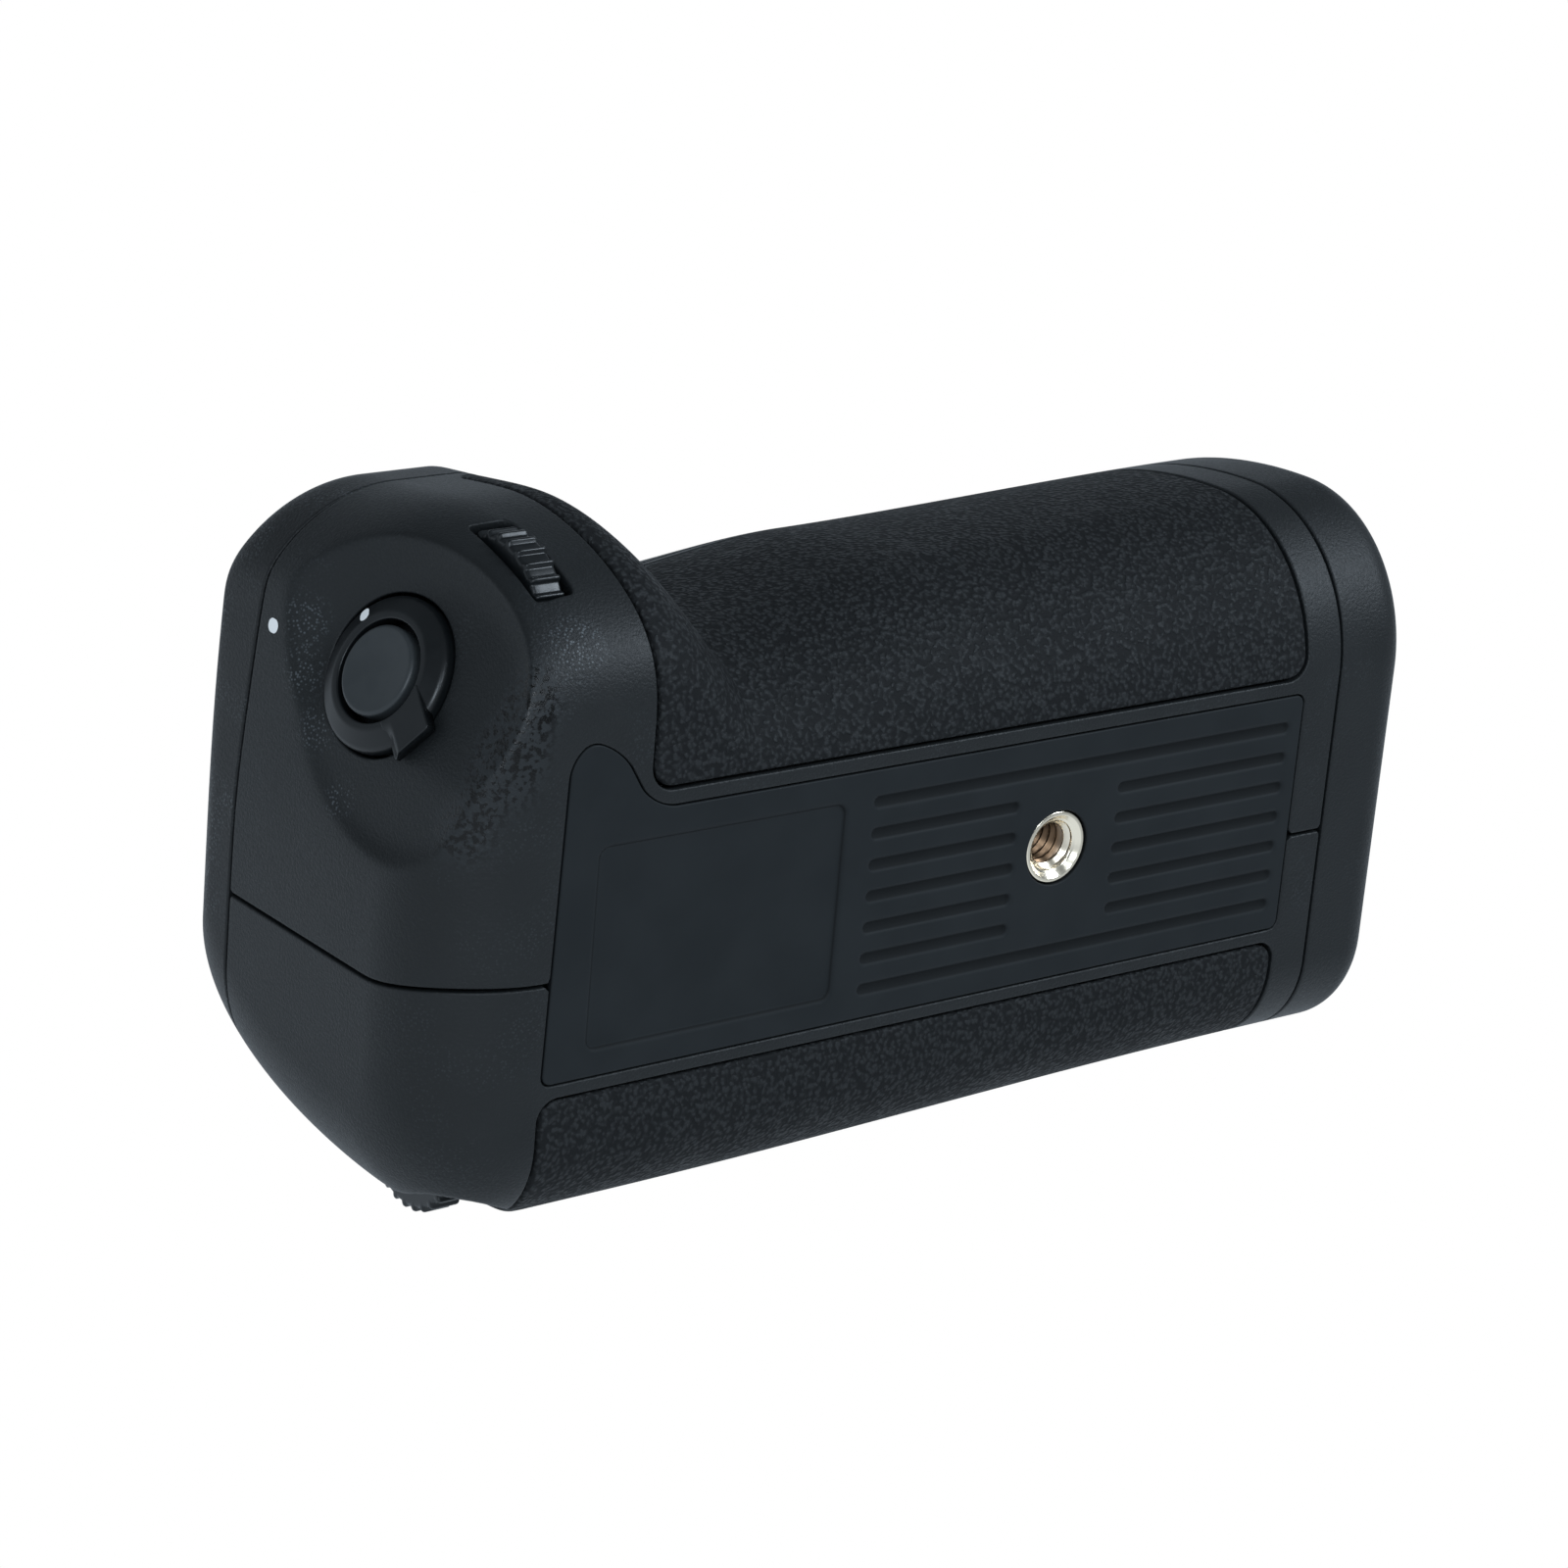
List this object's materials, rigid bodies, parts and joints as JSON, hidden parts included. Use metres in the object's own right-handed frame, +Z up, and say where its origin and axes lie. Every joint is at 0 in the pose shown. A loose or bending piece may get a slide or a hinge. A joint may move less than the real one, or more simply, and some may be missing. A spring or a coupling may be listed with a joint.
{
  "type": "camera battery grip",
  "caption": "Battery grip for a camera: moulded hand grip with vertical release, dials, thumb selector, tripod socket, mounting screw and slide-out battery tray.",
  "frame": {"origin": "on the tripod socket's axis in the base plane", "axes": "+X to the release end, +Y to the front of the camera, +Z up to the camera seat"},
  "size_m": [0.147, 0.08, 0.0586],
  "materials": {
    "shell": "fine spark-eroded matte grain",
    "cover": "fine matte grain",
    "grip_rubber": "pebbled leather grain",
    "pad": "smooth matte",
    "nickel": "turned, satin",
    "steel": "satin",
    "brass": "turned",
    "control": "satin gloss",
    "inner_plastic": "plain moulded",
    "board": "solder mask",
    "flex": "film",
    "battery": "plain moulded"
  },
  "bodies": {
    "body": {"front_shell": "shell", "rear_shell": "shell", "top_cover": "cover", "chamber_liner": "cover", "end_bulkhead": "cover", "front_grip_rubber": "grip_rubber", "rear_grip_rubber": "grip_rubber", "top_seat_pad": "grip_rubber", "contact_seal": "grip_rubber", "base_pad": "pad", "tripod_socket": "nickel", "locating_pins": "nickel", "base_plate": "steel", "chassis_plate": "steel", "wheel_axle": "steel", "casing_screws": "steel", "release_spring": "steel", "front_dial_axle": "steel", "rear_dial_axle": "steel", "focus_spring": "steel", "screw_bush": "brass", "contact_pins": "brass", "battery_contacts": "brass", "contact_plug": "inner_plastic", "release_housing": "inner_plastic", "release_switch": "inner_plastic", "focus_switch": "inner_plastic", "selector_base": "inner_plastic", "terminal_block": "inner_plastic", "front_dial_encoder": "inner_plastic", "rear_dial_encoder": "inner_plastic", "control_circuit": "board", "main_circuit": "board", "plug_flex": "flex"},
    "release": {"release_button": "control"},
    "lock": {"lock_ring": "control"},
    "front_dial": {"front_dial": "control"},
    "rear_dial": {"rear_dial": "control"},
    "focus": {"focus_button": "control"},
    "gimbal": {"selector_gimbal": "steel"},
    "selector": {"selector_stick": "control"},
    "wheel": {"attachment_wheel": "control", "wheel_gear": "brass"},
    "screw": {"mounting_screw": "steel", "screw_gear": "brass"},
    "tray": {"end_cap": "shell", "cap_inner_plate": "cover", "battery_tray": "cover", "battery_pack": "battery"},
    "latch": {"latch_key": "control", "latch_tongue": "steel"}
  },
  "joints": [
    {"name": "release_press", "type": "slide", "parent": "body", "child": "release", "axis": [-0.8826, -0.4595, 0.0993], "range_m": [0, 0.0012], "stiffness_N_per_m": 500, "springref_m": -0.001, "deforming": ["release_spring"]},
    {"name": "lock_turn", "type": "hinge", "parent": "body", "child": "lock", "pos_m": [0.082, 0.0255, 0.0235], "axis": [0.8826, 0.4595, -0.0993], "range_deg": [0, 33.5]},
    {"name": "front_dial_turn", "type": "hinge", "parent": "body", "child": "front_dial", "pos_m": [0.071, 0.03383, 0.0172], "axis": [1, 0, 0], "continuous": true},
    {"name": "rear_dial_turn", "type": "hinge", "parent": "body", "child": "rear_dial", "pos_m": [0.0785, -0.02823, 0.0168], "axis": [1, 0, 0], "continuous": true},
    {"name": "focus_press", "type": "slide", "parent": "body", "child": "focus", "axis": [0, 1, 0], "range_m": [0, 0.001], "stiffness_N_per_m": 400, "springref_m": -0.001, "deforming": ["focus_spring"]},
    {"name": "selector_tilt", "type": "hinge", "parent": "body", "child": "gimbal", "pos_m": [0.04, -0.0296, 0.03], "axis": [1, 0, 0], "range_deg": [-6, 6], "stiffness_Nm_per_rad": 0.05},
    {"name": "selector_pan", "type": "hinge", "parent": "gimbal", "child": "selector", "pos_m": [0.04, -0.0296, 0.03], "axis": [0, 0, 1], "range_deg": [-6, 6], "stiffness_Nm_per_rad": 0.05},
    {"name": "wheel_turn", "type": "hinge", "parent": "body", "child": "wheel", "pos_m": [0, -0.019, 0.036], "axis": [0, 0, 1], "continuous": true},
    {"name": "screw_turn", "type": "hinge", "parent": "body", "child": "screw", "pos_m": [0, 0, 0.036], "axis": [0, 0, 1], "continuous": true},
    {"name": "tray_out", "type": "slide", "parent": "body", "child": "tray", "axis": [-1, 0, 0], "range_m": [0, 0.07]},
    {"name": "latch_turn", "type": "hinge", "parent": "tray", "child": "latch", "pos_m": [-0.05, 0.0272, 0.021], "axis": [1, 0, 0], "range_deg": [0, 90]}
  ],
  "couplings": [
    {"joint": "screw_turn", "follows": "wheel_turn", "ratio": -0.9}
  ]
}
